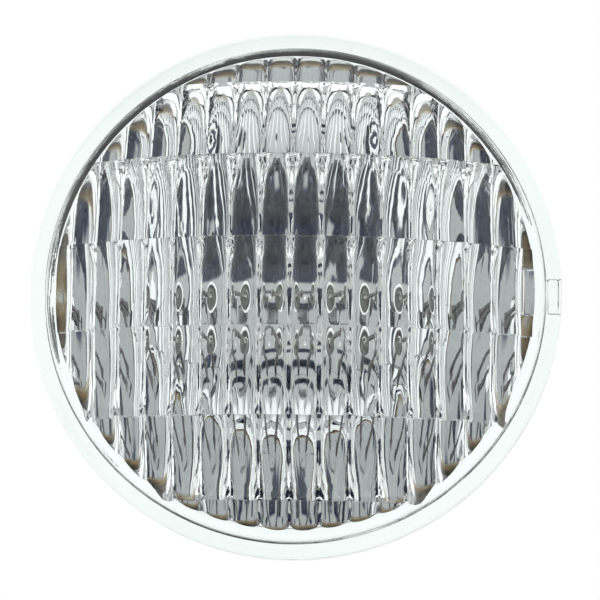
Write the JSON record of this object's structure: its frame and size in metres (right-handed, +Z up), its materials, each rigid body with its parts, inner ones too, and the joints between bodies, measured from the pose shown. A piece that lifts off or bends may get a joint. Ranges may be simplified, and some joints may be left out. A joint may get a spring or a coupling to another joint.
{
  "type": "sealed-beam spotlight bulb",
  "caption": "Round pressed-glass sealed-beam spotlight bulb with a fluted domed lens, mirrored parabolic bowl, coiled filament and two screw terminals on the back.",
  "frame": {"origin": "on the optical axis, in the plane where the lens flange meets the bowl flange", "axes": "+Y along the optical axis towards the terminals, so the lens looks along -Y; +Z up with the lens's rows level and the terminals side by side; the index lug is at +X"},
  "size_m": [0.1142, 0.0698, 0.1142],
  "materials": {
    "lens_glass": "clear pressed borosilicate glass",
    "mirrored_glass": "pressed glass, aluminised inside, clear at the flange",
    "tube_glass": "clear drawn glass, melted shut at the tip",
    "tungsten": "drawn tungsten wire",
    "nickel_wire": "drawn nickel alloy rod",
    "ferrule_metal": "drawn nickel-iron alloy",
    "terminal_brass": "turned brass",
    "screw_metal": "nickel-plated steel"
  },
  "bodies": {
    "bulb": {"lens": "lens_glass", "reflector_bowl": "mirrored_glass", "exhaust_tube": "tube_glass", "filament": "tungsten", "left_lead_post": "nickel_wire", "left_ferrule": "ferrule_metal", "left_terminal": "terminal_brass", "right_lead_post": "nickel_wire", "right_ferrule": "ferrule_metal", "right_terminal": "terminal_brass"},
    "left_clamp_washer": {"left_washer": "screw_metal"},
    "left_clamp_screw": {"left_screw": "screw_metal"},
    "right_clamp_washer": {"right_washer": "screw_metal"},
    "right_clamp_screw": {"right_screw": "screw_metal"}
  },
  "joints": [
    {"name": "left_lift", "type": "slide", "parent": "bulb", "child": "left_clamp_washer", "axis": [0, 1, 0], "range_m": [0, 0.00238]},
    {"name": "left_turn", "type": "hinge", "parent": "left_clamp_washer", "child": "left_clamp_screw", "pos_m": [-0.0127, 0.04333, 0], "axis": [0, 1, 0], "range_deg": [0, 1080]},
    {"name": "right_lift", "type": "slide", "parent": "bulb", "child": "right_clamp_washer", "axis": [0, 1, 0], "range_m": [0, 0.00238]},
    {"name": "right_turn", "type": "hinge", "parent": "right_clamp_washer", "child": "right_clamp_screw", "pos_m": [0.0127, 0.04333, 0], "axis": [0, 1, 0], "range_deg": [0, 1080]}
  ],
  "couplings": [
    {"joint": "left_turn", "follows": "left_lift", "rad_per_m": 7915.8},
    {"joint": "right_turn", "follows": "right_lift", "rad_per_m": 7915.8}
  ]
}
